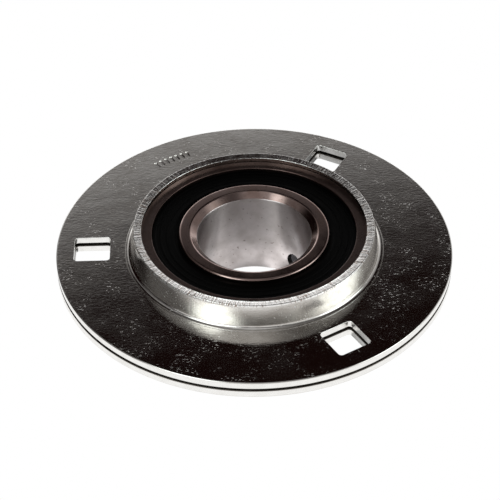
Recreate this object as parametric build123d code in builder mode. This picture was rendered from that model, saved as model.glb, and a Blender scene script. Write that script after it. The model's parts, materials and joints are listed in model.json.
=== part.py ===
"""Flange mount bearing: a self-aligning insert ball bearing between two pressed steel flanges.

Frame: +Z runs along the shaft axis, out of the front, where the inner ring is flush with the outer ring.
The origin is the centre of the spherical seat, on the shaft axis, midway between the two flanges.
Units are millimetres and degrees.
"""

import os
from math import asin, atan2, cos, degrees, radians, sin, sqrt

from build123d import *

# Insert bearing
shaft_d = 35.0
insert_d = 72.0  # diameter of the spherical outside
outer_ring_width = 17.0
inner_ring_width = 30.5
inner_ring_wall = 5.75
ball_d = 11.1125
ball_count = 9
race_conformity = 0.52  # groove radius as a share of the ball's diameter
race_clearance = 0.02  # gap between ball and groove bottom
inner_groove_depth = 2.07625  # from the inner ring's outside down to its groove bottom
outer_shoulder_height = 2.4  # depth of the outer ring's ball groove

# Edges of the rings
lead_in_width = 2.2  # bore lead-in at the front, across the face
lead_in_depth = 1.8  # the same lead-in, along the bore
lead_in_round = 1.0
bore_rear_chamfer = 1.0
inner_ring_chamfer = 0.5
outer_ring_chamfer = 0.5

# Seals
seal_seat_depth = 2.05  # from the outer ring's face down to the shoulder that the seal sits on
seal_mouth_wall = 3.6  # outer ring material round the mouth of the seal seat, at the face
seal_mouth_chamfer = 0.3
seal_groove_depth = 0.5
seal_groove_width = 0.7
seal_core_t = 0.4
seal_skin_t = 0.3  # rubber over and under the steel core
seal_edge_cover = 0.4  # rubber round the core's outer edge
seal_lip_length = 1.5  # rubber lip inside the core
seal_lip_drop = 0.45
seal_lip_gap = 0.08
seal_bead_gap = 0.05
seal_dish_depth = 0.15
seal_dish_from_edge = 0.9

# Cage
cage_t = 0.6
cage_ball_gap = 0.1
cage_shoulder_gap = 0.9
rivet_d = 1.6
rivet_head_d = 2.8
rivet_head_height = 0.7

# Set screws, M6 with a cup point
screw_d = 6.0
screw_clearance = 0.05
screw_length = 5.5
screw_from_rear = 7.3  # screw axis to the rear end of the inner ring
screw_retract = 0.8  # gap left between the screw's point and the shaft
screw_azimuths = (41.0, -79.0)
screw_end_chamfer = 0.5
socket_across_flats = 3.0
socket_depth = 2.2
cup_d = 4.0
cup_depth = 1.0

# Pressed steel flanges
flange_d = 122.0
plate_t = 2.5
plate_gap = 0.5
dome_wall = 2.3
dome_height = 10.5  # from the middle plane to the rim
dome_base_round = 1.2
seat_clearance = 0.05
bolt_circle_d = 100.0
bolt_count = 3
first_bolt_azimuth = 180.0
square_hole = 11.0
square_corner_r = 1.1
punched_edge_r = 0.4
burr_edge_r = 0.15
rim_edge_break = 0.2

# Plain pressed-in strokes on the front flange
stroke_count = 7
stroke_length = 3.0
stroke_width = 0.8
stroke_depth = 0.25
stroke_circle_d = 103.4
stroke_spacing = 2.1  # degrees
stroke_azimuth = 119.5

cut_margin = 1.0  # how far a cutting shape runs past what it cuts

# Worked out from the above
bore_r = shaft_d / 2
sphere_r = insert_d / 2
ball_r = ball_d / 2
half_width = outer_ring_width / 2
inner_ring_r = bore_r + inner_ring_wall
inner_groove_r = inner_ring_r - inner_groove_depth
pitch_r = inner_groove_r + race_clearance + ball_r
rear_end_z = half_width - inner_ring_width
race_r = race_conformity * ball_d
outer_groove_r = pitch_r + ball_r + race_clearance
outer_shoulder_r = outer_groove_r - outer_shoulder_height
seal_bottom_z = half_width - seal_seat_depth
seal_core_z = seal_bottom_z + seal_skin_t
seal_core_top_z = seal_core_z + seal_core_t
seal_top_z = seal_core_top_z + seal_skin_t
seal_mouth_r = sqrt(sphere_r**2 - half_width**2) - seal_mouth_wall
seal_core_r = seal_mouth_r - seal_edge_cover
seal_lip_r = inner_ring_r + seal_lip_gap
seal_core_hole_r = seal_lip_r + seal_lip_length
seal_groove_z = seal_bottom_z + (seal_top_z - seal_bottom_z - seal_groove_width) / 2
screw_z = rear_end_z + screw_from_rear


def ring_point(radius, azimuth, z=0.0):
    """A point on a circle round the shaft axis."""
    return (radius * cos(radians(azimuth)), radius * sin(radians(azimuth)), z)


def finish(piece, name):
    """Names a finished piece and writes it."""
    piece.label = name
    export_step(piece, f"parts/{name}.step")
    return piece


def make_flange():
    """One pressed flange: a flat round plate drawn up into a spherical dome that seats the insert."""
    seat_r = sphere_r + seat_clearance
    dome_r = seat_r + dome_wall
    inside_z = plate_gap / 2
    outside_z = inside_z + plate_t
    bend_r = plate_t
    # The fillet and the bend each touch a flat face and a sphere round the origin.
    fillet_z = outside_z + dome_base_round
    fillet_x = sqrt((dome_r + dome_base_round) ** 2 - fillet_z**2)
    bend_z = inside_z + bend_r
    bend_x = sqrt((seat_r + bend_r) ** 2 - bend_z**2)
    fillet_angle = degrees(atan2(fillet_z, fillet_x))
    bend_angle = degrees(atan2(bend_z, bend_x))
    outer_rim_angle = degrees(asin(dome_height / dome_r))
    inner_rim_angle = degrees(asin(dome_height / seat_r))

    with BuildPart() as flange:
        with BuildSketch(Plane.XZ) as section:
            with BuildLine():
                Line((bend_x, inside_z), (flange_d / 2, inside_z))
                Line((flange_d / 2, inside_z), (flange_d / 2, outside_z))
                Line((flange_d / 2, outside_z), (fillet_x, outside_z))
                CenterArc((fillet_x, fillet_z), dome_base_round, -90, fillet_angle - 90)
                CenterArc((0, 0), dome_r, fillet_angle, outer_rim_angle - fillet_angle)
                Line(
                    (dome_r * cos(radians(outer_rim_angle)), dome_height),
                    (seat_r * cos(radians(inner_rim_angle)), dome_height),
                )
                CenterArc((0, 0), seat_r, inner_rim_angle, bend_angle - inner_rim_angle)
                CenterArc((bend_x, bend_z), bend_r, 180 + bend_angle, 90 - bend_angle)
            make_face()
            plate_corners = section.vertices().group_by(Axis.X)[-1].sort_by(Axis.Y)
            fillet(plate_corners[-1], punched_edge_r)
            plate_corners = section.vertices().group_by(Axis.X)[-1].sort_by(Axis.Y)
            fillet(plate_corners[0], burr_edge_r)
            chamfer(section.vertices().group_by(Axis.Y)[-1], rim_edge_break)
        revolve(axis=Axis.Z)
        with BuildSketch(Plane.XY):
            with PolarLocations(bolt_circle_d / 2, bolt_count, first_bolt_azimuth):
                RectangleRounded(square_hole, square_hole, square_corner_r)
        extrude(amount=outside_z + cut_margin, mode=Mode.SUBTRACT)
    return flange.part


def make_front_flange():
    """The front flange carries a row of plain pressed-in strokes."""
    span = stroke_spacing * (stroke_count - 1)
    first = stroke_azimuth - span / 2
    with BuildPart() as flange:
        add(make_flange())
        with BuildSketch(Plane.XY.offset(plate_gap / 2 + plate_t)):
            with PolarLocations(stroke_circle_d / 2, stroke_count, first, span, endpoint=True):
                SlotOverall(stroke_length, stroke_width)
        extrude(amount=-stroke_depth, mode=Mode.SUBTRACT)
    return flange.part


def make_mirrored(front_piece):
    """The rear twin of a front piece, mirrored in the middle plane."""
    with BuildPart() as rear:
        mirror(front_piece, about=Plane.XY)
    return rear.part


def make_outer_ring():
    """Outer ring: spherical outside, one ball groove, and a stepped seat for a seal at each face."""
    with BuildPart() as ring:
        with BuildSketch(Plane.XZ) as section:
            with Locations(((outer_shoulder_r + sphere_r) / 2, 0)):
                Rectangle(sphere_r - outer_shoulder_r, outer_ring_width)
            Circle(sphere_r, mode=Mode.INTERSECT)
            chamfer(section.vertices().group_by(Axis.X)[-1], outer_ring_chamfer)
            with Locations((outer_groove_r - race_r, 0)):
                Circle(race_r, mode=Mode.SUBTRACT)
            for side in (1, -1):
                with BuildLine():
                    Polyline(
                        (outer_shoulder_r - cut_margin, side * seal_bottom_z),
                        (seal_mouth_r, side * seal_bottom_z),
                        (seal_mouth_r, side * seal_groove_z),
                        (seal_mouth_r + seal_groove_depth, side * seal_groove_z),
                        (seal_mouth_r + seal_groove_depth, side * (seal_groove_z + seal_groove_width)),
                        (seal_mouth_r, side * (seal_groove_z + seal_groove_width)),
                        (seal_mouth_r, side * (half_width - seal_mouth_chamfer)),
                        (seal_mouth_r + seal_mouth_chamfer, side * half_width),
                        (outer_shoulder_r - cut_margin, side * half_width),
                        close=True,
                    )
                make_face(mode=Mode.SUBTRACT)
        revolve(axis=Axis.Z)
    return ring.part


def make_inner_ring():
    """Inner ring: flush at the front, long at the rear, with two radial screw holes there."""
    with BuildPart() as ring:
        with BuildSketch(Plane.XZ) as section:
            with BuildLine():
                Polyline(
                    (bore_r, rear_end_z + bore_rear_chamfer),
                    (bore_r + bore_rear_chamfer, rear_end_z),
                    (inner_ring_r - inner_ring_chamfer, rear_end_z),
                    (inner_ring_r, rear_end_z + inner_ring_chamfer),
                    (inner_ring_r, half_width - inner_ring_chamfer),
                    (inner_ring_r - inner_ring_chamfer, half_width),
                    (bore_r + lead_in_width, half_width),
                    (bore_r, half_width - lead_in_depth),
                    close=True,
                )
            make_face()
            lead_in = section.vertices().sort_by_distance((bore_r + lead_in_width, half_width))[0]
            fillet(lead_in, lead_in_round)
            with Locations((inner_groove_r + race_r, 0)):
                Circle(race_r, mode=Mode.SUBTRACT)
        revolve(axis=Axis.Z)
        for azimuth in screw_azimuths:
            outward = ring_point(1, azimuth)
            with BuildSketch(Plane(origin=(0, 0, screw_z), x_dir=(0, 0, 1), z_dir=outward)):
                Circle(screw_d / 2)
            extrude(amount=inner_ring_r + cut_margin, mode=Mode.SUBTRACT)
    return ring.part


def make_ball(azimuth):
    """One ball, in place on the pitch circle."""
    with BuildPart() as ball:
        with Locations(ring_point(pitch_r, azimuth)):
            Sphere(ball_r)
    return ball.part


def make_cage_half():
    """Front half of the pressed ribbon cage: flat lands joined by a cup over each ball."""
    inner_r = inner_ring_r + cage_shoulder_gap
    outer_r = outer_shoulder_r - cage_shoulder_gap
    pocket_r = ball_r + cage_ball_gap
    cup_r = pocket_r + cage_t
    with BuildPart() as half:
        with BuildSketch(Plane.XY):
            Circle(outer_r)
            Circle(inner_r, mode=Mode.SUBTRACT)
        extrude(amount=cage_t)
        with PolarLocations(pitch_r, ball_count):
            Sphere(cup_r)
        with BuildSketch(Plane.XY):
            Circle(outer_r)
            Circle(inner_r, mode=Mode.SUBTRACT)
        extrude(amount=cup_r, mode=Mode.INTERSECT)
        with PolarLocations(pitch_r, ball_count):
            Sphere(pocket_r, mode=Mode.SUBTRACT)
        with PolarLocations(pitch_r, ball_count, 180 / ball_count):
            Cylinder(rivet_d / 2, 2 * (cage_t + cut_margin), mode=Mode.SUBTRACT)
    return half.part


def make_cage_rivets():
    """The rivets that join the cage halves, one between each pair of balls."""
    head_top_z = cage_t + rivet_head_height
    with BuildPart() as rivet:
        with BuildSketch(Plane.XZ):
            with BuildLine():
                TangentArc((0, head_top_z), (rivet_head_d / 2, cage_t), tangent=(1, 0))
                Polyline(
                    (rivet_head_d / 2, cage_t),
                    (rivet_d / 2, cage_t),
                    (rivet_d / 2, 0),
                    (0, 0),
                    (0, head_top_z),
                )
            make_face()
        revolve(axis=Axis.Z)
        mirror(about=Plane.XY)
    with BuildPart() as rivets:
        with PolarLocations(pitch_r, ball_count, 180 / ball_count):
            add(rivet.part)
    return rivets.part


def make_seal_core():
    """Steel disc inside the front seal."""
    with BuildPart() as core:
        with BuildSketch(Plane.XY.offset(seal_core_z)):
            Circle(seal_core_r)
            Circle(seal_core_hole_r, mode=Mode.SUBTRACT)
        extrude(amount=seal_core_t)
    return core.part


def make_seal_rubber():
    """Rubber moulded round the front steel disc, with a bead that snaps in the groove and a lip inside."""
    bead_r = seal_mouth_r + seal_groove_depth - seal_bead_gap
    bead_z = seal_groove_z + seal_bead_gap
    bead_top_z = seal_groove_z + seal_groove_width - seal_bead_gap
    dish_r = seal_core_r - seal_dish_from_edge
    lip_top_z = seal_top_z - seal_lip_drop
    with BuildPart() as rubber:
        with BuildSketch(Plane.XZ):
            with BuildLine():
                Polyline(
                    (seal_lip_r, lip_top_z - seal_skin_t),
                    (seal_core_hole_r, seal_bottom_z),
                    (seal_mouth_r, seal_bottom_z),
                    (seal_mouth_r, bead_z),
                    (bead_r, bead_z),
                    (bead_r, bead_top_z),
                    (seal_mouth_r, bead_top_z),
                    (seal_mouth_r - seal_dish_depth, seal_top_z),
                    (dish_r, seal_top_z),
                    (dish_r - seal_dish_depth, seal_top_z - seal_dish_depth),
                    (seal_core_hole_r, seal_top_z - seal_dish_depth),
                    (seal_lip_r, lip_top_z),
                    close=True,
                )
            make_face()
        revolve(axis=Axis.Z)
        with BuildSketch(Plane.XY.offset(seal_core_z)):
            Circle(seal_core_r)
            Circle(seal_core_hole_r, mode=Mode.SUBTRACT)
        extrude(amount=seal_core_t, mode=Mode.SUBTRACT)
    return rubber.part


def make_set_screw(azimuth):
    """One socket set screw on its radial axis, drawn back from the shaft."""
    start = ring_point(bore_r + screw_retract, azimuth, screw_z)
    base = Plane(origin=start, x_dir=(0, 0, 1), z_dir=ring_point(1, azimuth))
    at_base = (Align.CENTER, Align.CENTER, Align.MIN)
    with BuildPart(base) as screw:
        Cylinder(screw_d / 2 - screw_clearance, screw_length, align=at_base)
        chamfer(screw.edges().filter_by(GeomType.CIRCLE), screw_end_chamfer)
        Cone(cup_d / 2, 0, cup_depth, align=at_base, mode=Mode.SUBTRACT)
        with BuildSketch(base.offset(screw_length)):
            RegularPolygon(socket_across_flats / 2, 6, major_radius=False)
        extrude(amount=-socket_depth, mode=Mode.SUBTRACT)
    return screw.part


os.makedirs("parts", exist_ok=True)

finish(make_front_flange(), "front_flange")
finish(make_mirrored(make_flange()), "rear_flange")
finish(make_outer_ring(), "outer_ring")
finish(make_inner_ring(), "inner_ring")

for number in range(1, ball_count + 1):
    finish(make_ball((number - 1) * 360 / ball_count), f"ball_{number}")

cage_front_half = make_cage_half()
finish(cage_front_half, "cage_front_half")
finish(make_mirrored(cage_front_half), "cage_rear_half")
finish(make_cage_rivets(), "cage_rivets")

front_seal_core = make_seal_core()
finish(front_seal_core, "front_seal_core")
finish(make_mirrored(front_seal_core), "rear_seal_core")
front_seal_rubber = make_seal_rubber()
finish(front_seal_rubber, "front_seal_rubber")
finish(make_mirrored(front_seal_rubber), "rear_seal_rubber")

for number, azimuth in enumerate(screw_azimuths, start=1):
    finish(make_set_screw(azimuth), f"set_screw_{number}")
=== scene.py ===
# %% [markdown]
# # A flange mount bearing
#
# The object is a self-aligning ball bearing held between two pressed steel flanges. The CAD model
# already says where everything is and how big it is. This script gives it the surfaces of the real
# thing: bright zinc plating, ground and hardened rings, black rubber seals and blackened screws.
#
# Every piece here is turned, pressed or punched, so most shapes are one outline spun round an
# axis. The script therefore builds one lathe in Geometry Nodes and feeds it a different outline
# each time.

# %% Load the frame
import json
from math import atan2, cos, degrees, pi, radians, sin, sqrt

import bmesh
import bpy
from mathutils import Matrix, Vector


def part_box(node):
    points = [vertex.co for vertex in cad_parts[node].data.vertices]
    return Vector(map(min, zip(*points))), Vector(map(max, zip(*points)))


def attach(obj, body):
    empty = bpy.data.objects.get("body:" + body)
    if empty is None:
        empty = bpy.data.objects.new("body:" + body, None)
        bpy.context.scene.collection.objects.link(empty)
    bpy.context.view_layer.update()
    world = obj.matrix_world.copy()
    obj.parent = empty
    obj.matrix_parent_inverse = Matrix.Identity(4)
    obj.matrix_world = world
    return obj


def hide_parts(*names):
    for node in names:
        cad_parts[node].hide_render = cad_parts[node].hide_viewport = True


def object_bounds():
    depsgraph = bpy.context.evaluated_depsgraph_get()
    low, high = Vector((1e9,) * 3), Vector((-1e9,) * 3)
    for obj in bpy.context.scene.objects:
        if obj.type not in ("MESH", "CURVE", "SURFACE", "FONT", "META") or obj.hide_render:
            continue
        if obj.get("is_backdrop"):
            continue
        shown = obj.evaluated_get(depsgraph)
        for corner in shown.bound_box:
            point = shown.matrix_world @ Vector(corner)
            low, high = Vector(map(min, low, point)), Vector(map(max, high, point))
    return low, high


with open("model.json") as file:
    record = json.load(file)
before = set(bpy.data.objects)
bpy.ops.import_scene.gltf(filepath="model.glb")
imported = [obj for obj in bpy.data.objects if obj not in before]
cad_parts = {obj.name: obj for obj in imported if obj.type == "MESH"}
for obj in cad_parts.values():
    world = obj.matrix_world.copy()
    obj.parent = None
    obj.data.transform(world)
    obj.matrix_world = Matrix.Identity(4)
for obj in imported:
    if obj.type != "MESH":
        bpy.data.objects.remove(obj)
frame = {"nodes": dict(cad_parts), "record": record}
cad_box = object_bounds()

# %% [markdown]
# Sizes are read from the frame, so the looks always fit the model. The mounts give the bore and
# the front mounting face, and the boxes of the nodes give the rest. Small radii and wall
# thicknesses that no box can tell are named here once, in metres.

# %% Sizes
MM = 0.001
mounts = {mount["name"]: mount for mount in frame["record"]["mounts"]}
openings = [opening["box_m"] for opening in frame["record"]["physics"]["openings"]]

bore_r = mounts["shaft_bore"]["dims"]["r_mm"] * MM
face_z = mounts["front_mounting_face"]["pos_m"][2]
flange_low, flange_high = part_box("front_flange")
plate_low_z = flange_low.z
rim_z = flange_high.z
flange_r = -flange_low.x
ring_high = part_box("outer_ring")[1]
sphere_r = ring_high.x
half_width = ring_high.z
inner_low, inner_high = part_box("inner_ring")
inner_r = inner_high.x
rear_z = inner_low.z
seal_low, seal_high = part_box("front_seal_rubber")
core_low, core_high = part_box("front_seal_core")
ball_low, ball_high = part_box("ball_1")
ball_centre = (ball_low + ball_high) / 2
ball_r = (ball_high.z - ball_low.z) / 2
pitch_r = ball_centre.x
hole_centres = [(Vector(low) + Vector(high)) / 2 for low, high in openings]

plate_t = face_z - plate_low_z
dome_wall = 2.3 * MM
seat_clearance = 0.05 * MM
base_round = 1.2 * MM
seat_r = sphere_r + seat_clearance
dome_r = seat_r + dome_wall
square_side = 11.0 * MM
square_corner_r = 1.1 * MM
print(f"flange {2 * flange_r / MM:.0f} mm, bore {2 * bore_r / MM:.0f} mm, {len(openings)} holes")

# %% [markdown]
# ## Writing node maths as Python
#
# A material is a graph of nodes. Wiring each Math node by hand hides the formula, so a small class
# wraps a socket and lets Python's own operators add the nodes. One function adds any other node:
# it sets the node's settings first, because they decide which sockets exist, and then its sockets.


# %% Node helpers
class Value:
    """A node's output socket that arithmetic can be written on."""

    def __init__(self, tree, socket):
        self.tree = tree
        self.socket = socket

    def maths(self, operation, *others):
        """A Math node with this value first."""
        numbers = dict(enumerate((self, *others)))
        return add_node(self.tree, "ShaderNodeMath", {"operation": operation}, numbers)

    def __add__(self, other):
        return self.maths("ADD", other)

    def __sub__(self, other):
        return self.maths("SUBTRACT", other)

    def __mul__(self, other):
        return self.maths("MULTIPLY", other)

    def __truediv__(self, other):
        return self.maths("DIVIDE", other)

    def __rsub__(self, other):
        return self * -1 + other

    __radd__ = __add__
    __rmul__ = __mul__


def find_socket(sockets, key):
    """The socket at a position, or the enabled one of that name."""
    if isinstance(key, int):
        return sockets[key]
    return next(socket for socket in sockets if socket.enabled and socket.name == key)


def add_node(tree, kind, settings=None, inputs=None, output=0):
    """Adds a node, sets it up, feeds its sockets and returns one of its outputs as a Value."""
    node = tree.nodes.new(kind)
    for name, setting in (settings or {}).items():
        setattr(node, name, setting)
    for key, value in (inputs or {}).items():
        socket = find_socket(node.inputs, key)
        if isinstance(value, Value):
            tree.links.new(value.socket, socket)
        else:
            socket.default_value = value
    return Value(tree, find_socket(node.outputs, output)) if node.outputs else node


def join(tree, x=0.0, y=0.0, z=0.0):
    """The vector that three numbers make."""
    return add_node(tree, "ShaderNodeCombineXYZ", inputs={0: x, 1: y, 2: z})


def split(vector):
    """The three numbers of a vector."""
    kind = "ShaderNodeSeparateXYZ"
    return [add_node(vector.tree, kind, inputs={0: vector}, output=n) for n in range(3)]


# %% [markdown]
# ## The lathe
#
# Nearly every piece is an outline spun round an axis. Blender's Spin tool does that once and
# leaves a dead mesh. A Geometry Nodes tree keeps the rule: it lays out a grid with one column per
# outline point and one row per step round the axis, then bends each row to its angle. It can also
# tear the edge of the metal above a level, as a worn press tool does, and cut a screw thread.


# %% Geometry Nodes helpers
def start_tree(name, **sizes):
    """A new tree with named inputs of each kind. Returns the tree and its inputs as Values."""
    tree = bpy.data.node_groups.new(name, "GeometryNodeTree")
    for kind, names in sizes.items():
        for size in names:
            tree.interface.new_socket(name=size, in_out="INPUT", socket_type=f"NodeSocket{kind}")
    tree.interface.new_socket(name="Geometry", in_out="OUTPUT", socket_type="NodeSocketGeometry")
    entry = tree.nodes.new("NodeGroupInput")
    return tree, {socket.name: Value(tree, socket) for socket in entry.outputs if socket.name}


def shape_of(thing):
    """The geometry of the object that a tree's input names."""
    original = {"transform_space": "ORIGINAL"}
    return add_node(thing.tree, "GeometryNodeObjectInfo", original, {"Object": thing}, "Geometry")


def close_tree(tree, geometry, material):
    """Ends a tree with real geometry that carries its material."""
    real = add_node(tree, "GeometryNodeRealizeInstances", inputs={"Geometry": geometry})
    finish = {"Geometry": real, "Material": material}
    dressed = add_node(tree, "GeometryNodeSetMaterial", inputs=finish)
    add_node(tree, "NodeGroupOutput", inputs={"Geometry": dressed})


def run_tree(tree, name, values):
    """Runs a tree once with these values and keeps the result as a plain mesh object."""
    holder = link_mesh(name, bpy.data.meshes.new(name))
    modifier = holder.modifiers.new(tree.name, "NODES")
    modifier.node_group = tree
    for item in tree.interface.items_tree:
        if item.in_out == "INPUT" and item.name in values:
            modifier[item.identifier] = values[item.name]
    bake_modifiers(holder)
    if None in holder.data.materials[:]:
        holder.data.materials.pop(index=holder.data.materials[:].index(None))
    return holder


def link_mesh(name, mesh):
    """Puts a mesh in the scene as an object at the origin."""
    thing = bpy.data.objects.new(name, mesh)
    bpy.context.scene.collection.objects.link(thing)
    return thing


def bake_modifiers(thing):
    """Turns an object's modifiers into its mesh."""
    graph = bpy.context.evaluated_depsgraph_get()
    graph.update()
    mesh = bpy.data.meshes.new_from_object(
        thing.evaluated_get(graph), preserve_all_data_layers=True, depsgraph=graph
    )
    mesh.name = thing.name
    thing.modifiers.clear()
    thing.data = mesh
    return thing


# %% The lathe's tree
tear_sizes = ("Tear depth", "Tear level", "Tears")
thread_sizes = ("Thread depth", "Thread pitch", "Thread radius")
lathe, size = start_tree(
    "lathe",
    Object=("Outline",),
    Int=("Points", "Steps"),
    Float=(*tear_sizes, *thread_sizes, "Sharp angle"),
    Material=("Material",),
)
rows = size["Steps"] + 1
counts = {"Vertices X": size["Points"], "Vertices Y": rows}
grid = add_node(lathe, "GeometryNodeMeshGrid", inputs=counts, output="Mesh")
index = add_node(lathe, "GeometryNodeInputIndex")
column = ((index + 0.5) / rows).maths("FLOOR")
row = index - column * rows
turn = row / size["Steps"]
place = add_node(
    lathe,
    "GeometryNodeSampleIndex",
    {"data_type": "FLOAT_VECTOR", "domain": "POINT"},
    {
        "Geometry": shape_of(size["Outline"]),
        "Value": add_node(lathe, "GeometryNodeInputPosition"),
        "Index": column,
    },
)
from_axis, _, height = split(place)
round_the_axis = turn * (2 * pi)
cosine = round_the_axis.maths("COSINE")
sine = round_the_axis.maths("SINE")
circle = join(lathe, cosine, sine)
ragged = {"Vector": circle, "Scale": size["Tears"], "Detail": 3.0, "Roughness": 0.65}
tear = add_node(lathe, "ShaderNodeTexNoise", inputs=ragged)
torn = height.maths("GREATER_THAN", size["Tear level"]) * tear * size["Tear depth"]
winding = (height / size["Thread pitch"] - turn).maths("FRACT")
flank = (winding * 2 - 1).maths("ABSOLUTE")
cut = from_axis.maths("GREATER_THAN", size["Thread radius"]) * flank * size["Thread depth"]
radius = from_axis - cut
bent = join(lathe, radius * cosine, radius * sine, height - torn)
spun = add_node(lathe, "GeometryNodeSetPosition", inputs={"Geometry": grid, "Position": bent})
meeting = {"Geometry": spun, "Distance": 0.001 * MM}
welded = add_node(lathe, "GeometryNodeMergeByDistance", inputs=meeting)
all_smooth = {"Geometry": welded, "Shade Smooth": True}
smooth = add_node(lathe, "GeometryNodeSetShadeSmooth", {"domain": "FACE"}, all_smooth)
edge_angle = add_node(lathe, "GeometryNodeInputMeshEdgeAngle")
sharp = edge_angle.maths("GREATER_THAN", size["Sharp angle"])
edges_sharp = {"Geometry": smooth, "Selection": sharp, "Shade Smooth": False}
creased = add_node(lathe, "GeometryNodeSetShadeSmooth", {"domain": "EDGE"}, edges_sharp)
close_tree(lathe, creased, size["Material"])

# %% [markdown]
# An outline is a closed list of points in the plane of radius and height. Straight runs need only
# their ends, and rounds come from two functions, so no list of measured points is ever typed in.


# %% Outline helpers
def arc(centre, radius, start, end, steps=8):
    """Points on an arc, with angles in degrees, both ends included."""
    turned = [radians(start + (end - start) * step / steps) for step in range(steps + 1)]
    return [(centre[0] + radius * cos(angle), centre[1] + radius * sin(angle)) for angle in turned]


def rounded(points, radii, steps=5):
    """An outline whose corners are rounded, each with its own radius."""
    made = []
    for number, corner in enumerate(points):
        here = Vector(corner)
        before = Vector(points[number - 1]) - here
        after = Vector(points[(number + 1) % len(points)]) - here
        if radii[number] == 0:
            made.append(tuple(here))
            continue
        half_turn = before.angle(after) / 2
        reach = radii[number] / abs(sin(half_turn) / cos(half_turn))
        start = here + before.normalized() * reach
        end = here + after.normalized() * reach
        for step in range(steps + 1):
            share = step / steps
            bow = start.lerp(here, share).lerp(here.lerp(end, share), share)
            made.append(tuple(bow))
    return made


def turned_piece(name, outline, material, steps=256, **extra):
    """Spins an outline of (radius, height) points round the shaft axis."""
    area = sum(a[0] * b[1] - b[0] * a[1] for a, b in zip(outline, outline[1:] + outline[:1]))
    ordered = outline if area < 0 else outline[::-1]
    ends_on_axis = ordered[0][0] == 0 and ordered[-1][0] == 0
    drawn = ordered if ends_on_axis else ordered + ordered[:1]
    mesh = bpy.data.meshes.new("outline")
    runs = [(n, n + 1) for n in range(len(drawn) - 1)]
    mesh.from_pydata([(r, 0, z) for r, z in drawn], runs, [])
    path = link_mesh("outline", mesh)
    values = {"Outline": path, "Points": len(drawn), "Steps": steps, "Material": material}
    values.update({"Sharp angle": radians(24), "Tear level": 1.0})
    values.update({"Thread pitch": 1.0, "Thread radius": 1.0})
    values.update({key.replace("_", " ").capitalize(): value for key, value in extra.items()})
    piece = run_tree(lathe, name, values)
    bpy.data.objects.remove(path)
    return piece


# %% [markdown]
# A lathe can't make a square hole or a screw hole, so those are cut afterwards. The exact Boolean
# keeps flat faces flat, and it carries over the cutter's material, which is how the punched walls
# get their own finish. Weighted normals then make each large flat face shade as truly flat.


# %% Cutting and finishing helpers
def cut_away(piece, *cutters):
    """Cuts shapes out of a piece and removes them."""
    for cutter in cutters:
        modifier = piece.modifiers.new("cut", "BOOLEAN")
        modifier.operation = "DIFFERENCE"
        modifier.solver = "EXACT"
        modifier.material_mode = "TRANSFER"
        modifier.object = cutter
    bake_modifiers(piece)
    for cutter in cutters:
        bpy.data.objects.remove(cutter)
    return piece


def settle_shading(piece, sharp_angle=24):
    """Sharpens real edges and lets flat faces decide the normals."""
    piece.data.set_sharp_from_angle(angle=radians(sharp_angle))
    modifier = piece.modifiers.new("flat faces lead", "WEIGHTED_NORMAL")
    modifier.mode = "FACE_AREA"
    modifier.keep_sharp = True
    return bake_modifiers(piece)


def mirror_to_rear(piece, name):
    """A copy of a front piece, mirrored in the middle plane, with its faces turned outwards."""
    mesh = piece.data.copy()
    mesh.name = name
    mesh.transform(Matrix.Scale(-1, 4, (0, 0, 1)))
    mesh.flip_normals()
    return link_mesh(name, mesh)


def repaint(piece, material, belongs):
    """Gives a material to the faces whose place and facing direction pass a test."""
    if material.name not in piece.data.materials:
        piece.data.materials.append(material)
    number = piece.data.materials.find(material.name)
    for face in piece.data.polygons:
        if belongs(face.center, face.normal):
            face.material_index = number


def stack_of_loops(name, loops, material):
    """A closed solid through loops of equal length, capped at both ends."""
    shape = bmesh.new()
    rings = [[shape.verts.new(point) for point in loop] for loop in loops]
    count = len(rings[0])
    for lower, upper in zip(rings, rings[1:]):
        for n in range(count):
            after = (n + 1) % count
            shape.faces.new((lower[n], lower[after], upper[after], upper[n]))
    shape.faces.new(rings[0][::-1])
    shape.faces.new(rings[-1])
    bmesh.ops.recalc_face_normals(shape, faces=shape.faces)
    mesh = bpy.data.meshes.new(name)
    shape.to_mesh(mesh)
    shape.free()
    mesh.materials.append(material)
    return link_mesh(name, mesh)


def show(piece, body, slot, *nodes):
    """Hangs a finished piece on its body, hides the CAD pieces it stands for, and says what it took
    to make.
    """
    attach(piece, body)
    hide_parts(*nodes)
    triangles = sum(len(face.vertices) - 2 for face in piece.data.polygons)
    print(f"{piece.name}: {triangles} triangles on {body}")


# %% [markdown]
# ## Finishes
#
# A metal finish is mostly what its surface does to a reflection. The base colour stays nearly
# even, and the life comes from roughness and from very shallow bumps at two scales: grain that
# breaks a highlight into sparkle, and slow waves that bend it. A texture on Object coordinates
# sits still on the piece, and its scale is one over the size of the feature in metres.


# %% Finish helpers
def start_finish(name):
    """A new material without nodes. Returns it and the object coordinates."""
    material = bpy.data.materials.new(name)
    material.use_nodes = True
    material.node_tree.nodes.clear()
    return material, add_node(material.node_tree, "ShaderNodeTexCoord", output="Object")


def close_finish(material, colour, roughness, normal, constants=None):
    """Ends a material in one Principled shader, a metal unless the constants say otherwise."""
    settings = {"Base Color": colour, "Roughness": roughness, "Normal": normal, "Metallic": 1.0}
    settings.update(constants or {})
    surface = add_node(material.node_tree, "ShaderNodeBsdfPrincipled", inputs=settings)
    add_node(material.node_tree, "ShaderNodeOutputMaterial", inputs={"Surface": surface})
    return material


def noise(vector, feature, detail=2.0, roughness=0.5):
    """Noise from 0 to 1 whose lumps are about one feature across."""
    sizes = {"Vector": vector, "Scale": 1 / feature, "Detail": detail, "Roughness": roughness}
    return add_node(vector.tree, "ShaderNodeTexNoise", inputs=sizes)


def stretch(vector, x=1.0, y=1.0, z=1.0):
    """Coordinates with each axis multiplied, so that a pattern draws out along a small one."""
    both = {0: vector, 1: (x, y, z)}
    return add_node(vector.tree, "ShaderNodeVectorMath", {"operation": "MULTIPLY"}, both)


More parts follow.
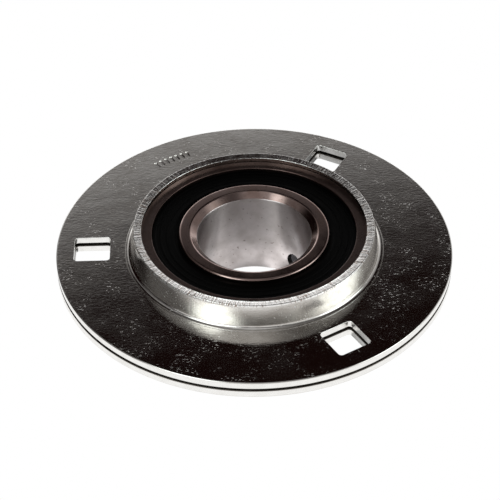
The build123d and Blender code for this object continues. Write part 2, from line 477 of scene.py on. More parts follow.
def ramp(value, low, high, start=0.0, end=1.0):
    """Turns low to high into start to end, smoothly, and holds it beyond them."""
    limits = {"Value": value, 1: low, 2: high, 3: start, 4: end}
    return add_node(value.tree, "ShaderNodeMapRange", {"interpolation_type": "SMOOTHSTEP"}, limits)


def mix_colours(share, first, second):
    """A colour between two, each given as (r, g, b) or as a Value."""
    colours = {"Factor": share}
    for name, colour in (("A", first), ("B", second)):
        colours[name] = colour if isinstance(colour, Value) else (*colour, 1.0)
    return add_node(share.tree, "ShaderNodeMix", {"data_type": "RGBA"}, colours, output="Result")


def bump(height, distance, normal=None):
    """A bump whose height runs from 0 to 1 over a distance in metres."""
    sizes = {"Height": height, "Distance": distance, "Strength": 1.0}
    if normal is not None:
        sizes["Normal"] = normal
    return add_node(height.tree, "ShaderNodeBump", inputs=sizes)


def distance_from_axis(x, y):
    """How far a point is from the shaft axis."""
    return (x * x + y * y).maths("SQRT")


def polar(vector):
    """Angle in turns, radius and height of a point about the shaft axis."""
    x, y, z = split(vector)
    return y.maths("ARCTAN2", x) / (2 * pi), distance_from_axis(x, y), z


def on_circle(angle, radius=1.0, height=0.0):
    """The point at an angle in turns on a circle round the shaft axis."""
    turn = angle * 2 * pi
    return join(angle.tree, turn.maths("COSINE") * radius, turn.maths("SINE") * radius, height)


# %% [markdown]
# **Bright zinc plating.** The flanges are blanked from rolled sheet, pressed, then plated. The
# plating is nearly a mirror, but the rolled sheet under it is finely pitted, and the pits draw out
# a little along the rolling direction. Handling leaves a few dull, lighter specks and faint
# clouds.

# %% Bright zinc
material, here = start_finish("bright_zinc")
rolled = stretch(here, x=0.45)
grain = noise(rolled, 0.6 * MM, detail=3.0, roughness=0.6)
scratches = noise(stretch(here, x=0.35, z=0.5), 0.3 * MM, detail=2.0)
mottle = noise(stretch(here, x=0.7), 2.6 * MM, detail=5.0, roughness=0.65)
clouds = noise(here, 14 * MM, detail=3.0, roughness=0.55)
handled = noise(here, 7 * MM, detail=4.0, roughness=0.65)
waves = noise(stretch(here, x=0.7), 9 * MM, detail=1.0)
specks = ramp(scratches, 0.64, 0.74) * ramp(handled, 0.44, 0.62)
stain = ramp(clouds, 0.35, 0.75) * 0.5 + ramp(mottle, 0.4, 0.72) * 0.5

# The draw leaves the dome a little rougher than the plate, with marks that run up it.
angle, distance, height = polar(here)
drawn = ramp(height.maths("ABSOLUTE"), face_z + 0.2 * MM, face_z + 1.4 * MM)
marks = noise(on_circle(angle), 0.55 * MM / dome_r, detail=3.0, roughness=0.6)

colour = mix_colours(stain, (0.72, 0.70, 0.67), (0.52, 0.49, 0.455))
colour = mix_colours(specks, colour, (0.82, 0.81, 0.80))
waved = bump(waves, 0.030 * MM)
grained = bump(grain, 0.016 * MM, waved)
streaked = bump(marks * drawn, 0.010 * MM, grained)
dented = bump(specks, 0.018 * MM, streaked)
rough = ramp(clouds, 0.3, 0.8, 0.07, 0.13) + specks * 0.2 + drawn * 0.13
bright_zinc = close_finish(material, colour, rough, dented)
print("finish:", bright_zinc.name)

# %% [markdown]
# **Sheared edges.** A press tool leaves two kinds of edge. The punched holes and the outer edge
# are sheared straight through, so their walls carry fine lines that run with the punch. The rim of
# the dome tore off where the tool trimmed it, so its narrow top face is rough, with tears that run
# out from the axis. Both are the same steel under the same plating, only rougher.

# %% Punched walls and the torn rim
material, here = start_finish("punched_wall")
lines = noise(stretch(here, z=0.06), 0.22 * MM, detail=3.0, roughness=0.6)
patches = noise(here, 2.5 * MM, detail=2.0)
colour = mix_colours(patches, (0.90, 0.89, 0.87), (0.78, 0.77, 0.74))
rough = ramp(patches, 0.3, 0.7, 0.18, 0.34)
punched_wall = close_finish(material, colour, rough, bump(lines, 0.02 * MM))

material, here = start_finish("torn_rim")
angle, distance, height = polar(here)
outward = on_circle(angle, sphere_r, distance * 0.15)
tears = noise(outward, 0.42 * MM, detail=3.0, roughness=0.65)
patches = noise(here, 3.5 * MM, detail=3.0, roughness=0.65)
# Where tears and patches meet, the torn face turns dark brown.
dark_brown_share = ramp(tears, 0.46, 0.62) * ramp(patches, 0.35, 0.6)
colour = mix_colours(dark_brown_share, (0.86, 0.85, 0.83), (0.34, 0.27, 0.23))
rough = ramp(patches, 0.3, 0.7, 0.14, 0.28)
torn_rim = close_finish(material, colour, rough, bump(tears, 0.10 * MM))

# The faces that the two flanges turn to each other are painted near black: painted shade for the
# dark gap between the plates.
material, here = start_finish("trapped_oil")
blotches = noise(here, 3 * MM, detail=4.0, roughness=0.6)
colour = mix_colours(blotches, (0.035, 0.03, 0.026), (0.08, 0.07, 0.06))
rough = ramp(blotches, 0.3, 0.7, 0.35, 0.55)
trapped_oil = close_finish(material, colour, rough, bump(blotches, 0.01 * MM))
print("finishes:", punched_wall.name, torn_rim.name, trapped_oil.name)

# %% [markdown]
# **Ground and hardened rings.** Bearing rings are hardened steel, ground on every face that works.
# Grinding wheels leave lines that run round the axis, so a highlight stretches across the lines.
# The shader's own anisotropy does that, and it needs turning by a quarter, because on its own it
# would stretch along the lines. An oil film darkens the steel and tints it a little brown in
# patches.


# %% Ground steel
def make_ground_steel(name, clean, oiled, roughness, anisotropy, line_depth):
    material, here = start_finish(name)
    angle, distance, height = polar(here)
    half_way_round = angle.maths("PINGPONG", 0.5) * 0.002
    across = join(here.tree, distance, height, half_way_round)
    lines = noise(across, 0.09 * MM, detail=2.0, roughness=0.7)
    blotches = noise(here, 6 * MM, detail=4.0, roughness=0.6)
    drops = noise(here, 1.1 * MM, detail=2.0)
    oil = ramp(blotches, 0.35, 0.68)
    spots = ramp(drops, 0.66, 0.72)
    low, high = roughness
    colour = mix_colours(spots * 0.5, mix_colours(oil, clean, oiled), (0.08, 0.05, 0.04))
    rough = ramp(blotches, 0.3, 0.7, low, high) + (lines - 0.5) * 0.08
    stretched = {"Anisotropic": anisotropy, "Anisotropic Rotation": 0.25}
    return close_finish(material, colour, rough, bump(lines, line_depth), stretched)


ground_finishes = (
    ("ground_ring", (0.34, 0.255, 0.235), (0.23, 0.16, 0.14), (0.12, 0.22), 0.15, 0.0014 * MM),
    ("ground_outer", (0.11, 0.078, 0.070), (0.075, 0.048, 0.042), (0.26, 0.36), 0.1, 0.0014 * MM),
    ("ground_bore", (0.50, 0.46, 0.455), (0.42, 0.38, 0.37), (0.28, 0.36), 0.95, 0.0012 * MM),
)
ground_ring, ground_outer, ground_bore = (make_ground_steel(*finish) for finish in ground_finishes)
print("finishes:", ground_ring.name, ground_outer.name, ground_bore.name)

# %% [markdown]
# **Polished balls, pressed cage, seal discs.** These sit behind the seals, and only show when the
# object is cut or taken apart. The balls are lapped, so they are the smoothest surface here. The
# cage and the seal discs are thin cold-rolled strip with a faint direction and a trace of grease.


# %% Hidden steel
def make_strip_steel(name, clean, greasy, roughness, grain_size):
    material, here = start_finish(name)
    grain = noise(stretch(here, x=0.2), grain_size, detail=3.0)
    grease = noise(here, 4 * MM, detail=3.0)
    low, high = roughness
    colour = mix_colours(ramp(grease, 0.4, 0.65), clean, greasy)
    rough = ramp(grease, 0.35, 0.7, low, high) + (grain - 0.5) * 0.06
    return close_finish(material, colour, rough, bump(grain, 0.0012 * MM))


hidden_finishes = (
    ("lapped_steel", (0.62, 0.61, 0.60), (0.52, 0.50, 0.47), (0.05, 0.14), 0.3 * MM),
    ("pressed_steel", (0.52, 0.51, 0.49), (0.42, 0.38, 0.32), (0.28, 0.42), 0.25 * MM),
    ("disc_steel", (0.56, 0.55, 0.53), (0.45, 0.42, 0.38), (0.30, 0.42), 0.35 * MM),
)
ball_steel, cage_steel, core_steel = (make_strip_steel(*finish) for finish in hidden_finishes)
print("finishes:", ball_steel.name, cage_steel.name, core_steel.name)

# %% [markdown]
# **Nitrile rubber.** The seals are moulded in black rubber. It is one of the darkest things people
# make, so the base colour is close to zero, and what little shows is a broad, weak sheen. Dust and
# a mould texture of very fine pimples keep it from looking like a hole in the picture.

# %% Seal rubber
material, here = start_finish("black_rubber")
pimples = noise(here, 0.18 * MM, detail=2.0, roughness=0.6)
dust = noise(here, 2.2 * MM, detail=4.0, roughness=0.7)
dusty = ramp(dust, 0.55, 0.8)
colour = mix_colours(dusty, (0.0004, 0.0004, 0.0004), (0.002, 0.0019, 0.0018))
rough = ramp(dust, 0.3, 0.8, 0.42, 0.6)
not_metal = {"Metallic": 0.0, "Specular IOR Level": 0.025}
black_rubber = close_finish(material, colour, rough, bump(pimples, 0.006 * MM), not_metal)
print("finish:", black_rubber.name)

# %% [markdown]
# **Blackened screws.** The set screws are hardened and chemically blackened. The coat is thin, so
# bare steel starts to shine on the crests of the thread, where it has been handled.

# %% Blackened steel
material, here = start_finish("black_screw")
scale = noise(here, 0.35 * MM, detail=3.0)
wear = ramp(noise(here, 1.3 * MM, detail=4.0, roughness=0.7), 0.56, 0.68)
colour = mix_colours(wear, (0.055, 0.052, 0.055), (0.22, 0.21, 0.20))
rough = ramp(scale, 0.3, 0.7, 0.3, 0.46)
black_screw = close_finish(material, colour, rough, bump(scale, 0.004 * MM))
print("finish:", black_screw.name)

# %% [markdown]
# ## The pressed flanges
#
# One flange is a flat plate drawn up into a dome whose inside is the spherical seat of the insert.
# The outline follows the press: the metal bends up on a large radius underneath and on a small one
# on top, where the tool also coins a fine crease into the plate just outside the fillet. The
# circles that touch a flat face and the sphere at once have their centres where both distances are
# right.

# %% The flange's outline
bend_r = plate_t
sheared_round = 0.35 * MM
inner_edge_round = 0.45 * MM
rim_break = 0.2 * MM
rim_slope = 0.32 * MM
rim_shares = (0.2, 0.35, 0.5, 0.65, 0.8)
crease_width = 0.32 * MM
crease_depth = 0.07 * MM

fillet_z = face_z + base_round
fillet_x = sqrt((dome_r + base_round) ** 2 - fillet_z**2)
fillet_turn = degrees(atan2(fillet_z, fillet_x))
bend_z = plate_low_z + bend_r
bend_x = sqrt((seat_r + bend_r) ** 2 - bend_z**2)
bend_turn = degrees(atan2(bend_z, bend_x))
rim_outer_r = sqrt(dome_r**2 - rim_z**2)
rim_inner_r = sqrt(seat_r**2 - rim_z**2)
rim_width = rim_outer_r - rim_inner_r
outer_top_turn = degrees(atan2(rim_z - rim_break, sqrt(dome_r**2 - (rim_z - rim_break) ** 2)))
inner_top = rim_z - rim_slope - rim_break
inner_top_turn = degrees(atan2(inner_top, sqrt(seat_r**2 - inner_top**2)))

inner_edge = (flange_r - inner_edge_round, plate_low_z + inner_edge_round)
rim_inner_edge = (rim_inner_r + 1.25 * rim_break, inner_top)
crease = arc((fillet_x + 1.5 * crease_width, face_z), crease_width / 2, 0, -180, steps=6)
crease = [(r, face_z - (face_z - z) * 2 * crease_depth / crease_width) for r, z in crease]
flange_outline = [
    *arc(inner_edge, inner_edge_round, -90, 0, steps=4),
    *arc((flange_r - sheared_round, face_z - sheared_round), sheared_round, 0, 90, steps=7),
    *crease,
    *arc((fillet_x, fillet_z), base_round, -90, fillet_turn - 180, steps=9),
    *arc((0, 0), dome_r, fillet_turn, outer_top_turn, steps=16)[1:],
    *arc((rim_outer_r - 0.75 * rim_break, rim_z - rim_break), rim_break, 15, 90, steps=4)[1:],
    *[(rim_outer_r - rim_width * share, rim_z - rim_slope * share) for share in rim_shares],
    *arc(rim_inner_edge, rim_break, 90, 175, steps=4)[:-1],
    *arc((0, 0), seat_r, inner_top_turn, bend_turn, steps=16),
    *arc((bend_x, bend_z), bend_r, 180 + bend_turn, 270, steps=8)[1:],
]
print(f"{len(flange_outline)} outline points, dome outside radius {dome_r / MM:.2f} mm")

# %% [markdown]
# A punch pulls the top of a hole in a little before it shears through. The cutter is therefore a
# square bar with rounded corners that flares at the top, and a touch at the bottom.


# %% Square punches
def rounded_square(half, corner_r, z):
    """A loop of points round a square with rounded corners."""
    flat = half - corner_r
    loop = []
    for quarter, corner in enumerate(((flat, flat), (-flat, flat), (-flat, -flat), (flat, -flat))):
        turn = 90 * quarter
        loop += [(x, y, z) for x, y in arc(corner, corner_r, turn, turn + 90, steps=8)]
    return loop


def square_punch(centre):
    """A punch that flares where the metal was pulled in, turned to face the shaft axis."""
    flare_steps = 4
    steepest = 70
    pulled_in = 0.14 * MM
    levels = [
        (plate_low_z - MM, inner_edge_round),
        (plate_low_z, inner_edge_round),
        (plate_low_z + 0.3 * inner_edge_round, 0.3 * inner_edge_round),
        (plate_low_z + inner_edge_round, 0),
    ]
    for step in range(flare_steps + 1):
        turn = radians(steepest * step / flare_steps)
        levels.append((face_z - pulled_in * (1 - sin(turn)), pulled_in * (1 - cos(turn))))
    levels.append((face_z + MM, levels[-1][1] + 0.05 * MM))
    half = square_side / 2
    loops = [rounded_square(half + grow, square_corner_r + grow, z) for z, grow in levels]
    punch = stack_of_loops("punch", loops, punched_wall)
    turned = Matrix.Rotation(atan2(centre.y, centre.x), 4, "Z")
    punch.data.transform(Matrix.Translation((centre.x, centre.y, 0)) @ turned)
    return punch


# %% [markdown]
# The front flange carries a short row of plain pressed-in strokes. The same thing many times,
# evenly spaced round an axis, is a small Geometry Nodes tree: it moves a shape out from the axis,
# then turns one copy of it for each place. The cage's rivets use it again.

# %% The tree that repeats a shape round the axis
ring_of_copies, size = start_tree(
    "ring_of_copies",
    Object=("Shape",),
    Float=("Radius", "First angle", "Spacing"),
    Int=("Count",),
    Material=("Material",),
)
move = {"Geometry": shape_of(size["Shape"]), "Translation": join(ring_of_copies, x=size["Radius"])}
moved = add_node(ring_of_copies, "GeometryNodeTransform", inputs=move)
one_place = {"Count": size["Count"], "Offset": (0, 0, 0)}
centres = add_node(ring_of_copies, "GeometryNodeMeshLine", inputs=one_place)
number = add_node(ring_of_copies, "GeometryNodeInputIndex")
angle = size["First angle"] + number * size["Spacing"]
places = {"Points": centres, "Instance": moved, "Rotation": join(ring_of_copies, z=angle)}
copies = add_node(ring_of_copies, "GeometryNodeInstanceOnPoints", inputs=places)
close_tree(ring_of_copies, copies, size["Material"])


def copies_round_axis(name, shape, radius, count, first, spacing):
    """Copies of a shape at angles in degrees, as one mesh with the shape's own finish."""
    values = {"Shape": shape, "Radius": radius, "Count": count}
    values.update({"First angle": radians(first), "Spacing": radians(spacing)})
    values["Material"] = shape.data.materials[0]
    made = run_tree(ring_of_copies, name, values)
    bpy.data.objects.remove(shape)
    return made


# %% The strokes' punch
stroke_count = 7
stroke_length = 3.0 * MM
stroke_width = 1.0 * MM
stroke_depth = 0.4 * MM
stroke_circle_r = 51.7 * MM
stroke_spacing = 2.1
stroke_middle = 119.5


def stroke_loop(width, z):
    """A loop of points round a slot that runs out from the axis."""
    reach = (stroke_length - stroke_width) / 2
    ends = arc((reach, 0), width / 2, -90, 90) + arc((-reach, 0), width / 2, 90, 270)
    return [(x, y, z) for x, y in ends]


def stroke_punch():
    """The row of strokes, each with sloping walls and a flat bottom."""
    bottom = face_z - stroke_depth
    levels = [(bottom, 0.3), (bottom + 0.08 * MM, 0.55), (face_z, 1.0), (face_z + MM, 1.3)]
    loops = [stroke_loop(stroke_width * share, z) for z, share in levels]
    one = stack_of_loops("stroke", loops, bright_zinc)
    first = stroke_middle - stroke_spacing * (stroke_count - 1) / 2
    return copies_round_axis("strokes", one, stroke_circle_r, stroke_count, first, stroke_spacing)


# %% [markdown]
# The rear flange is the front one's twin, face to face. It is mirrored from the same pressing
# before the strokes are cut. A mirror turns a mesh inside out, so its faces are flipped back.

# %% Make both flanges
near_rim = rim_z - rim_slope - 0.25 * MM
outer_edge = flange_r - 0.01 * MM
edge_low = plate_low_z + inner_edge_round
edge_high = face_z - sheared_round
gap_shade_level = plate_low_z + 0.7 * inner_edge_round
tearing = {"tear_depth": 0.24 * MM, "tear_level": rim_z - rim_slope - 0.03 * MM, "tears": 70.0}
pressing = turned_piece("front_flange_pressed", flange_outline, bright_zinc, steps=720, **tearing)
repaint(pressing, torn_rim, lambda at, facing: at.z > near_rim)
repaint(
    pressing,
    punched_wall,
    lambda at, facing: at.xy.length > outer_edge and edge_low < at.z < edge_high,
)
cut_away(pressing, *[square_punch(centre) for centre in hole_centres])
# Painted shade: the plate's underside, which faces the other flange, takes the near-black finish.
repaint(pressing, trapped_oil, lambda at, facing: at.z < gap_shade_level and at.xy.length > bend_x)
rear_flange = mirror_to_rear(pressing, "rear_flange_pressed")
front_flange = cut_away(pressing, stroke_punch())
for flange, node in ((front_flange, "front_flange"), (rear_flange, "rear_flange")):
    settle_shading(flange)
    show(flange, "housing", "zinc_plated_steel", node)

# %% [markdown]
# ## The insert's rings
#
# The outer ring is a slice of a sphere, so that it can swivel in the flanges. Inside it has a ball
# groove and, at each face, a seat for a seal. The inner ring is longer and reaches out at the
# rear, where two screws clamp it to the shaft. At the front its bore opens in a wide rounded
# lead-in.

# %% Ring outlines
race_r = 0.52 * 2 * ball_r
race_gap = 0.02 * MM
edge_round = 0.45 * MM
outer_groove_r = pitch_r + ball_r + race_gap
inner_groove_r = pitch_r - ball_r - race_gap
outer_shoulder_r = outer_groove_r - 2.4 * MM
mouth_r = sqrt(sphere_r**2 - half_width**2) - 3.6 * MM
seat_z = seal_low.z
seal_groove_z = (seal_low.z + seal_high.z) / 2


def groove_reach(centre_r, shoulder_r):
    """The angle, seen from the centre of a groove's circle, at which it meets a shoulder."""
    return degrees(atan2(sqrt(race_r**2 - (shoulder_r - centre_r) ** 2), shoulder_r - centre_r))


outer_reach = groove_reach(outer_groove_r - race_r, outer_shoulder_r)
inner_reach = groove_reach(inner_groove_r + race_r, inner_r)
face_edge_r = sqrt((sphere_r - edge_round) ** 2 - (half_width - edge_round) ** 2)
face_edge_turn = degrees(atan2(half_width - edge_round, face_edge_r))
upper_half = [
    *arc((0, 0), sphere_r, 0, face_edge_turn, steps=12),
    *arc((face_edge_r, half_width - edge_round), edge_round, face_edge_turn, 90, steps=5)[1:],
    *arc((mouth_r + 0.3 * MM, half_width - 0.3 * MM), 0.3 * MM, 90, 180, steps=4),
    (mouth_r, seal_groove_z + 0.35 * MM),
    (mouth_r + 0.5 * MM, seal_groove_z + 0.35 * MM),
    (mouth_r + 0.5 * MM, seal_groove_z - 0.35 * MM),
    (mouth_r, seal_groove_z - 0.35 * MM),
    (mouth_r, seat_z),
    (outer_shoulder_r, seat_z),
    *arc((outer_groove_r - race_r, 0), race_r, outer_reach, 0, steps=12),
]
lower_half = [(r, -z) for r, z in reversed(upper_half[1:-1])]
outer_outline = upper_half + lower_half

lead_in = rounded(
    [
        (bore_r, half_width - 4 * MM),
        (bore_r, half_width - 1.8 * MM),
        (bore_r + 2.2 * MM, half_width),
        (inner_r, half_width),
        (inner_r, 6 * MM),
    ],
    [0, 0.5 * MM, 1.0 * MM, 0.9 * MM, 0],
    steps=6,
)
inner_groove = arc((inner_groove_r + race_r, 0), race_r, inner_reach, 360 - inner_reach, steps=24)
rear_end = rounded(
    [
        (inner_r, -6 * MM),
        (inner_r, rear_z + edge_round),
        (inner_r - edge_round, rear_z),
        (bore_r + MM, rear_z),
        (bore_r, rear_z + MM),
        (bore_r, rear_z + 4 * MM),
    ],
    [0, 0.2 * MM, 0.2 * MM, 0.25 * MM, 0.25 * MM, 0],
)
inner_outline = lead_in + inner_groove + rear_end
print(f"outer ring {len(outer_outline)} points, inner ring {len(inner_outline)} points")

# %% [markdown]
# The screw holes run straight at the axis, so their drill is a small turned piece too, laid over
# on its side and turned to the screw's place. Where the holes and screws are is read from the
# frame.


# %% Make both rings
def place_radially(thing, azimuth, height):
    """Lays a piece that stands on the origin along a radius, at a height."""
    turn = Matrix.Rotation(azimuth, 4, "Z") @ Matrix.Translation((0, 0, height))
    thing.data.transform(turn @ Matrix.Rotation(pi / 2, 4, "Y"))
    return thing


screws = []
for node in ("set_screw_1", "set_screw_2"):
    low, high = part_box(node)
    middle = (low + high) / 2
    screws.append((node, atan2(middle.y, middle.x), middle.z))

screw_r = 2.95 * MM
hole_r = 3.0 * MM
sink = 0.3 * MM


def drill():
    """A drill that goes through the wall of the inner ring and sinks its outer edge."""
    outline = [
        (0, bore_r - 2 * MM),
        (hole_r, bore_r - 2 * MM),
        (hole_r, inner_r - sink),
        (hole_r + 2 * sink, inner_r + sink),
        (hole_r + 2 * sink, inner_r + MM),
        (0, inner_r + MM),
    ]
    return turned_piece("drill", outline, core_steel, steps=72)


outer_ring = turned_piece("outer_ring_ground", outer_outline, ground_outer, steps=360)
inner_ring = turned_piece("inner_ring_ground", inner_outline, ground_ring, steps=360)
bore_edge = bore_r + 0.25 * MM
flat_on = 0.9
repaint(
    inner_ring, ground_bore, lambda at, facing: at.xy.length < bore_edge and abs(facing.z) < flat_on
)
cut_away(inner_ring, *[place_radially(drill(), turn, height) for node, turn, height in screws])
for ring in (outer_ring, inner_ring):
    settle_shading(ring)
show(outer_ring, "outer_race", "bearing_steel", "outer_ring")
show(inner_ring, "inner_race", "bearing_steel", "inner_ring")

# %% [markdown]
# ## The seals
#
# Each seal is a rubber ring moulded over a steel disc. Its bead snaps into the outer ring, and its
# thin lip stops just short of the inner ring. Low moulded bands stiffen the face between them. The
# steel disc stays as the CAD has it, so the rubber gets an exact pocket for it.

# %% Make both seals
lip_r = inner_r + 0.08 * MM
core_hole_r = lip_r + 1.5 * MM
bead_z = 0.3 * MM
band_height = 0.12 * MM
face = seal_high.z - 0.16 * MM
lip_top = seal_high.z - 0.45 * MM
lip_t = 0.3 * MM
core_r = core_high.x


def band(middle, width):
    """A low moulded band across the face of the seal."""
    half = width / 2
    return [
        (middle + half, face),
        (middle + 0.6 * half, face + band_height),
        (middle - 0.6 * half, face + band_height),
        (middle - half, face),
    ]


seal_outline = [
    (lip_r, lip_top - lip_t),
    (core_hole_r, seal_low.z),
    (mouth_r, seal_low.z),
    *rounded(
        [
            (mouth_r, seal_groove_z - bead_z),
            (mouth_r + 0.45 * MM, seal_groove_z - bead_z),
            (mouth_r + 0.45 * MM, seal_groove_z + bead_z),
            (mouth_r, seal_groove_z + bead_z),
        ],
        [0, 0.2 * MM, 0.2 * MM, 0],
    ),
    (mouth_r - 0.03 * MM, seal_high.z - 0.15 * MM),
    (mouth_r - 0.15 * MM, seal_high.z),
    (mouth_r - 1.1 * MM, seal_high.z),
    (mouth_r - 1.3 * MM, face),
    *band(mouth_r - 2.6 * MM, 0.7 * MM),
    *band(mouth_r - 4.6 * MM, 0.7 * MM),
    (core_hole_r + 0.5 * MM, face),
    (core_hole_r + 0.1 * MM, face + 0.06 * MM),
    (core_hole_r - 0.35 * MM, face - 0.02 * MM),
    (core_hole_r - 0.7 * MM, face - 0.17 * MM),
    (lip_r + 0.25 * MM, lip_top),
    (lip_r, lip_top - 0.08 * MM),
]
pocket_outline = [
    (core_hole_r, core_low.z),
    (core_r, core_low.z),
    (core_r, core_high.z),
    (core_hole_r, core_high.z),
]
front_seal = turned_piece("front_seal_moulded", seal_outline, black_rubber, steps=240)
cut_away(front_seal, turned_piece("pocket", pocket_outline, black_rubber, steps=240))
rear_seal = mirror_to_rear(front_seal, "rear_seal_moulded")
show(front_seal, "outer_race", "seal_rubber", "front_seal_rubber")
show(rear_seal, "outer_race", "seal_rubber", "rear_seal_rubber")

# %% [markdown]
# ## The set screws
#
# A set screw is a turned blank with a rolled thread, a hexagon socket in one end and a cup in the
# other, so that its sharp rim bites the shaft. The lathe cuts the thread as it turns: the cut is
# deepest where two turns meet and runs out to nothing half way between, which leaves the crest.

# %% Make the set screws
screw_length = 5.5 * MM
screw_start = bore_r + 0.8 * MM
cup_r = 2.0 * MM
cup_depth = 1.0 * MM
end_break = 0.5 * MM
socket_flats = 3.0 * MM
socket_depth = 2.2 * MM
thread_points = 72

thread_step = (screw_length - 2 * end_break) / thread_points
thread_run = [(screw_r, end_break + thread_step * n) for n in range(thread_points + 1)]
screw_outline = [
    (0, cup_depth),
    (cup_r, 0.0),
    (screw_r - end_break, 0.0),
    *thread_run,
    (screw_r - end_break, screw_length),
    (0, screw_length),
]


def make_set_screw(name, azimuth, height):
    """One set screw, in its place along a radius."""
    thread = {"thread_depth": 0.5 * MM, "thread_pitch": MM, "thread_radius": screw_r - 0.01 * MM}
    screw = turned_piece(name, screw_outline, black_screw, steps=60, **thread)
    corner_r = socket_flats / 2 / cos(pi / 6)
    hexagon = [(corner_r * cos(n * pi / 3), corner_r * sin(n * pi / 3)) for n in range(6)]
    levels = [
        (screw_length - socket_depth - 0.5 * MM, 0.05),
        (screw_length - socket_depth, 1.0),
        (screw_length - 0.15 * MM, 1.0),
        (screw_length + 0.15 * MM, 1.2),
    ]
    loops = [[(x * share, y * share, z) for x, y in hexagon] for z, share in levels]
    cut_away(screw, stack_of_loops("socket", loops, black_screw))
    screw.data.transform(Matrix.Translation((0, 0, screw_start)))
    return place_radially(screw, azimuth, height)


for node, azimuth, height in screws:
    screw = make_set_screw(f"{node}_threaded", azimuth, height)
    settle_shading(screw, sharp_angle=35)
    show(screw, node, "blackened_steel", node)

# %% [markdown]
# ## The cage's rivets
#
# A rivet is a pin with a domed head at each end, and there is one between every two balls. One is
# turned on the lathe, and the ring of copies sets nine round the axis.

# %% Make the rivets
balls = [name for name in frame["nodes"] if name.startswith("ball_")]
strip_t = 0.6 * MM
rivet_r = 0.8 * MM
head_r = 1.4 * MM
head_height = 0.7 * MM
head_round = (head_r**2 + head_height**2) / (2 * head_height)
head_turn = degrees(atan2(head_r, head_round - head_height))
head = arc((0, strip_t + head_height - head_round), head_round, 90, 90 - head_turn, steps=8)
upper_rivet = [(0.0, head[0][1]), *head[1:], (rivet_r, strip_t)]
rivet_outline = upper_rivet + [(r, -z) for r, z in reversed(upper_rivet)]
one_rivet = turned_piece("rivet", rivet_outline, cage_steel, steps=32)
apart = 360 / len(balls)
rivets = copies_round_axis("rivets_headed", one_rivet, pitch_r, len(balls), apart / 2, apart)
show(rivets, "cage", "cage_steel", "cage_rivets")

# %% [markdown]
# The balls, the two halves of the cage and the steel discs are already the right shape, so the CAD
# pieces stay and only take a finish.

# %% Finish the CAD pieces that stay
kept_pieces = (
    (ball_steel, balls),
    (cage_steel, ("cage_front_half", "cage_rear_half")),
    (core_steel, ("front_seal_core", "rear_seal_core")),
)
for finish, names in kept_pieces:
    for name in names:
        for slot in frame["nodes"][name].material_slots:
            slot.material = finish
    print(f"{finish.name} on {len(names)} CAD pieces")

# %% [markdown]
# ## Stage and light
#
# Polished metal shows the room more than it shows itself, so the studio is built for its
# reflections. What the camera sees directly is a plain white background and a plain pale table.
# The metal mirrors a darker, glowing table instead, with painted light on it: a bright front and
# two painted pools of light, so the dome keeps its contrast. Under the bore, two painted stripes
# and a broad painted band of light stand in for light that falls through the bore. They draw the
# streaks that run up the bore's wall.

# %% Table
table_r = 600 * MM
white = (1.0, 1.0, 1.0, 1.0)
shape = bmesh.new()
bmesh.ops.create_circle(shape, cap_ends=True, segments=96, radius=table_r)
bmesh.ops.translate(shape, verts=shape.verts, vec=(0, 0, cad_box[0][2]))
mesh = bpy.data.meshes.new("table")
shape.to_mesh(mesh)
shape.free()
table = link_mesh("table", mesh)

# White where the camera sees it. The metal mirrors a dark table with painted light on it, brightest
# in front.
table_top, here = start_finish("table_top")
x, y, z = split(here)


def painted_light_patch(centre_x, centre_y, reach):
    """A soft round patch of painted light, in millimetres."""
    off = distance_from_axis(x - centre_x * MM, y - centre_y * MM)
    return ramp(off, reach * MM, 0.35 * reach * MM)


def painted_light_stripe(point_x, point_y, direction, reach):
    """A soft straight stripe of painted light through a point, its direction in degrees."""
    turn = radians(direction)
    off = (x - point_x * MM) * sin(turn) - (y - point_y * MM) * cos(turn)
    return ramp(off.maths("ABSOLUTE"), reach * MM, 0.3 * reach * MM)


# Painted light: a bright front, two painted pools of light and a faint even glow.
front = ramp(y, 0.08, 0.0) * ramp(x, -0.2, -0.1)
patches = painted_light_patch(-104, -151, 70) * 0.9 + painted_light_patch(164, -72, 60) * 1.1
painted_light_outside_bore = front + patches + 0.03
# Painted light under the bore, standing in for light that falls through it: a broad band, a spot
# and two stripes.
band = ramp(x.maths("ABSOLUTE"), 16 * MM, 6 * MM) * 0.4 + painted_light_patch(0, 15, 11) * 0.3
painted_light_stripes = painted_light_stripe(7.1, 16.0, 42, 2.2) * 1.3 + painted_light_stripe(-9.9, 14.4, -21, 3) * 0.9
painted_light_through_bore = band + painted_light_stripes + 0.02
under_bore = ramp(distance_from_axis(x, y), 0.045, 0.03)
mirrored = painted_light_outside_bore + under_bore * (painted_light_through_bore - painted_light_outside_bore)
# Camera rays see plain white, and every other ray sees the painted light.
by_camera = add_node(here.tree, "ShaderNodeLightPath", output="Is Camera Ray")
strength = mirrored + by_camera * (1 - mirrored)
glow = add_node(here.tree, "ShaderNodeEmission", inputs={"Color": white, "Strength": strength})
add_node(here.tree, "ShaderNodeOutputMaterial", inputs={"Surface": glow})
mesh.materials.append(table_top)
table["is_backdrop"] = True

# %% [markdown]
# The room is a dome of light told by direction: x to the right, y to the back and z up. A flat
# plate seen from above mirrors the back wall, which fades upwards into a dark ceiling, and the
# fade dips to the right: that gives the plate its slow change from pale to dark. Four slightly
# cool lamps make the highlights, weak fills keep the other sides readable, and a faint warm glow
# tints the dark parts.

# %% World light
world = bpy.data.worlds.new("studio")
world.use_nodes = True
bpy.context.scene.world = world
tree = world.node_tree
tree.nodes.clear()
towards = add_node(tree, "ShaderNodeTexCoord", output="Generated")
x, y, z = split(towards)


def soft_box(azimuth, elevation, reach, edge, strength):
    """A round patch of light, in degrees: full out to reach, then fading over edge."""
    side = cos(radians(elevation))
    centre = (side * cos(radians(azimuth)), side * sin(radians(azimuth)), sin(radians(elevation)))
    both = {0: towards, 1: centre}
    closeness = add_node(tree, "ShaderNodeVectorMath", {"operation": "DOT_PRODUCT"}, both, "Value")
    return ramp(closeness, cos(radians(reach + edge)), cos(radians(reach))) * strength


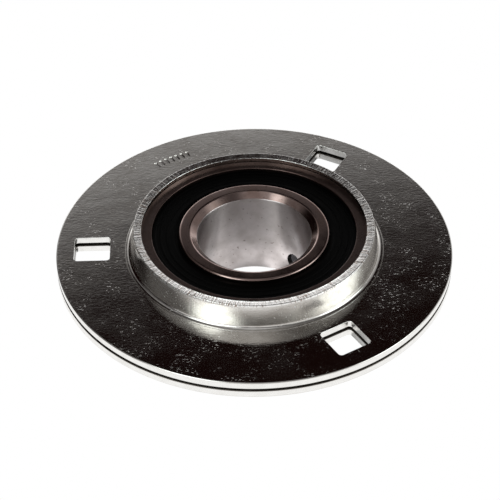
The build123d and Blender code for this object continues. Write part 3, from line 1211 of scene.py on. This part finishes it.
rise = z + x * 0.16
wall_ends = ramp(y, 0.0, 0.3) * ramp(x, -0.6, -0.35) * ramp(x, 0.8, 0.4, 0.4, 1.0)
wall = (ramp(rise, 0.66, 0.55) * 0.45 + ramp(rise, 0.5, 0.27) * 1.25) * wall_ends
low_front = ramp(z, 0.41, 0.31) * ramp(y, -0.2, -0.6) * 0.8
right_side = ramp(x, 0.4, 0.7) * 0.3
left_side = ramp(x, -0.4, -0.7) * ramp(z, 0.55, 0.7) * 0.3
behind_camera = ramp(y, -0.1, -0.5) * 0.15
overhead = ramp(z, 0.82, 0.97) * 0.2
fill = ramp(z, 0.28, 0.42) * (right_side + behind_camera) + left_side + overhead
room = wall + low_front + fill + soft_box(-112, 60, 14, 16, 0.35) + soft_box(178, 24, 10, 12, 0.12)
lamps = soft_box(-126, 28, 7, 15, 3.2) + soft_box(-14, 24, 12, 14, 2.8)
lamps = lamps + soft_box(-50, 26, 6, 10, 0.4) + soft_box(-145, 50, 6, 8, 2.2)
by_camera = add_node(tree, "ShaderNodeLightPath", output="Is Camera Ray")
seen = by_camera + (1 - by_camera) * room
everything = None
for colour, strength in (
    (white, seen),
    ((0.93, 1.0, 0.99, 1.0), lamps * (1 - by_camera)),
    ((1.0, 0.36, 0.29, 1.0), 0.007),
):
    part = add_node(tree, "ShaderNodeBackground", inputs={"Color": colour, "Strength": strength})
    if everything is not None:
        part = add_node(tree, "ShaderNodeAddShader", inputs={0: everything, 1: part})
    everything = part
add_node(tree, "ShaderNodeOutputWorld", inputs={"Surface": everything})
bpy.context.scene.view_settings.view_transform = "Standard"

# %% [markdown]
# The camera stands in front and a little to the left, forty degrees above the table, with a long
# lens, so that the round flange keeps its shape.

# %% Camera
camera_azimuth = radians(-91.67)
camera_elevation = radians(40.08)
camera_distance = 525.5 * MM
camera_aim = Vector((-1.31, 0.0, 0.61)) * MM
camera_roll = radians(-0.605)

camera_place = Matrix.Rotation(camera_azimuth, 3, "Z") @ Vector(
    (camera_distance * cos(camera_elevation), 0.0, camera_distance * sin(camera_elevation))
)
camera_data = bpy.data.cameras.new("camera")
camera_data.lens = 122.0
camera_data.sensor_width = 36.0
camera_data.clip_start = 0.01
camera = bpy.data.objects.new("camera", camera_data)
bpy.context.scene.collection.objects.link(camera)
aimed = (camera_aim - camera_place).to_track_quat("-Z", "Y").to_matrix().to_4x4()
rolled = aimed @ Matrix.Rotation(camera_roll, 4, "Z")
camera.matrix_world = Matrix.Translation(camera_place) @ rolled
bpy.context.scene.camera = camera
print("camera at", [round(value / MM) for value in camera_place], "mm")

# %% [markdown]
# The looks must not outgrow the model, so the box of each is kept for comparison.

# %% Sizes for comparison, and the end
shown_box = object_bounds()
gaps = [abs(a - b) for p, q in zip(cad_box, shown_box) for a, b in zip(p, q)]
print(f"largest difference {max(gaps) / MM:.3f} mm")
